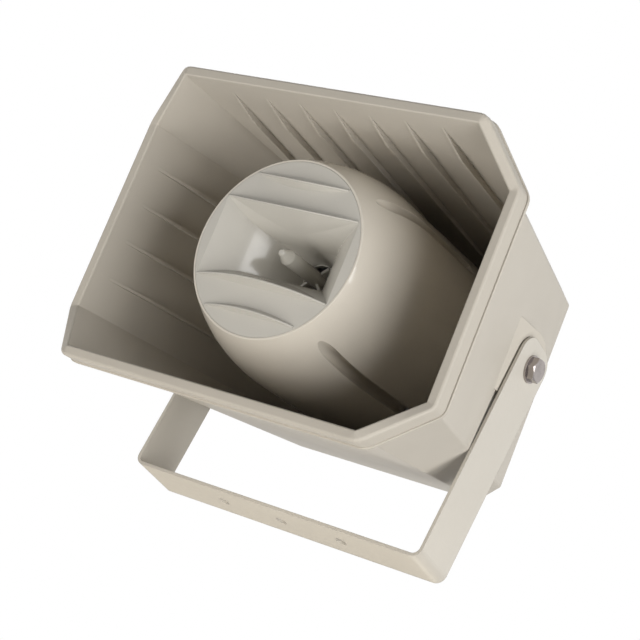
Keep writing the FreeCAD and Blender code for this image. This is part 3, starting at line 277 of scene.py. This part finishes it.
def background_rays(tree):
    """Light Path's outputs, and a socket that is 1 for the rays that see the background."""
    rays = tree.nodes.new("ShaderNodeLightPath").outputs
    seen = rays["Is Camera Ray"]
    for kind in ("Is Glossy Ray", "Is Transmission Ray"):
        larger = tree.nodes.new("ShaderNodeMath")
        larger.operation = "MAXIMUM"
        tree.links.new(seen, larger.inputs[0])
        tree.links.new(rays[kind], larger.inputs[1])
        seen = larger.outputs[0]
    return rays, seen


def floor_finish():
    """Pale from above. It hides nothing from below, and lamps under it shine through."""
    m = Finish("floor_finish", rough=0.9)
    m.colour(m.ramp(m.noise(3.0), [(0.3, 0.80), (0.7, 0.83)]))
    rays, seen = background_rays(m.tree)
    seen = m.maths("MULTIPLY", seen, m.maths("GREATER_THAN", rays["Ray Length"], GLOW_FROM))
    m.feed(WHITE, m.shader.inputs["Emission Color"])
    m.link(m.maths("MULTIPLY", seen, FLOOR_GLOW), m.shader.inputs["Emission Strength"])
    m.material.cycles.emission_sampling = "NONE"
    under = m.add("ShaderNodeNewGeometry").outputs["Backfacing"]
    clear = m.add("ShaderNodeBsdfTransparent")
    both = m.add("ShaderNodeMixShader")
    m.link(m.maths("MAXIMUM", rays["Is Shadow Ray"], under), both.inputs[0])
    m.link(m.shader.outputs["BSDF"], both.inputs[1])
    m.link(clear.outputs["BSDF"], both.inputs[2])
    m.link(both.outputs[0], m.out.inputs["Surface"])
    return m.material


corners = [(x * FLOOR_REACH, y * FLOOR_REACH, -FLOOR_DROP) for x, y in ((-1, -1), (1, -1), (1, 1), (-1, 1))]
floor_mesh = bpy.data.meshes.new("floor")
floor_mesh.from_pydata(corners, [], [(0, 1, 2, 3)])
floor_mesh.materials.append(floor_finish())
floor = bpy.data.objects.new("floor", floor_mesh)
scene.collection.objects.link(floor)


def background(tree, strength):
    node = tree.nodes.new("ShaderNodeBackground")
    node.inputs["Color"].default_value = (*WHITE, 1.0)
    node.inputs["Strength"].default_value = strength
    return node.outputs[0]


world = bpy.data.worlds.new("studio")
scene.world = world
world.use_nodes = True
sky = world.node_tree
sky.nodes.clear()
mix, world_out = sky.nodes.new("ShaderNodeMixShader"), sky.nodes.new("ShaderNodeOutputWorld")
sky.links.new(background_rays(sky)[1], mix.inputs[0])
sky.links.new(background(sky, SKY_LIGHT), mix.inputs[1])
sky.links.new(background(sky, 1.0), mix.inputs[2])
sky.links.new(mix.outputs[0], world_out.inputs[0])

# The camera stands where the photograph was taken from, found from the outline of the horn and the bracket.
PHOTO_WIDTH = 640.0
FOCAL_LENGTH = 1757.0  # in the photograph's pixels
SENSOR_WIDTH = 36.0    # mm

camera = bpy.data.objects.new("camera", bpy.data.cameras.new("camera"))
scene.collection.objects.link(camera)
camera.location = (0.70882, -0.99217, -0.28224)
camera.rotation_euler = (1.952078, -0.470410, 0.476877)
camera.data.sensor_width = SENSOR_WIDTH
camera.data.lens = SENSOR_WIDTH * FOCAL_LENGTH / PHOTO_WIDTH
camera.data.clip_start, camera.data.clip_end = 0.05, 30.0
scene.camera = camera

turned = camera.rotation_euler.to_matrix()
RIGHT, UP, BACK = turned.col[0], turned.col[1], turned.col[2]
MIDDLE = Vector((0.0, -0.03, 0.13))
WARM = (1.0, 0.98, 0.95)


def lamp(name, right, up, back, size, power, colour=WHITE):
    """A soft box placed from the camera's point of view, in metres from the object's middle."""
    data = bpy.data.lights.new(name, "AREA")
    data.shape = "RECTANGLE"
    data.size, data.size_y = size
    data.energy = power
    data.color = colour
    lamp_object = bpy.data.objects.new(name, data)
    lamp_object.location = MIDDLE + RIGHT * right + UP * up + BACK * back
    aim = MIDDLE - lamp_object.location
    lamp_object.rotation_euler = aim.to_track_quat("-Z", "Y").to_euler()
    scene.collection.objects.link(lamp_object)


# The lamps stand side by side as the object sees them: one behind another would lose light.
lamp("key", 1.50, -0.42, 1.84, (2.0, 2.1), 66.0)
lamp("right_low", 1.1, -1.6, 1.35, (1.2, 1.0), 12.0)
lamp("left_low", -2.0, -0.8, 1.0, (1.2, 1.6), 22.0, WARM)
lamp("left_mid", -1.7, 0.1, 1.6, (1.0, 1.2), 20.0, WARM)
lamp("low", 0.0, -2.3, 0.3, (1.8, 1.2), 8.5)
lamp("behind", -0.4, 1.2, -2.1, (1.6, 1.6), 16.0)

scene.view_settings.view_transform = "Standard"
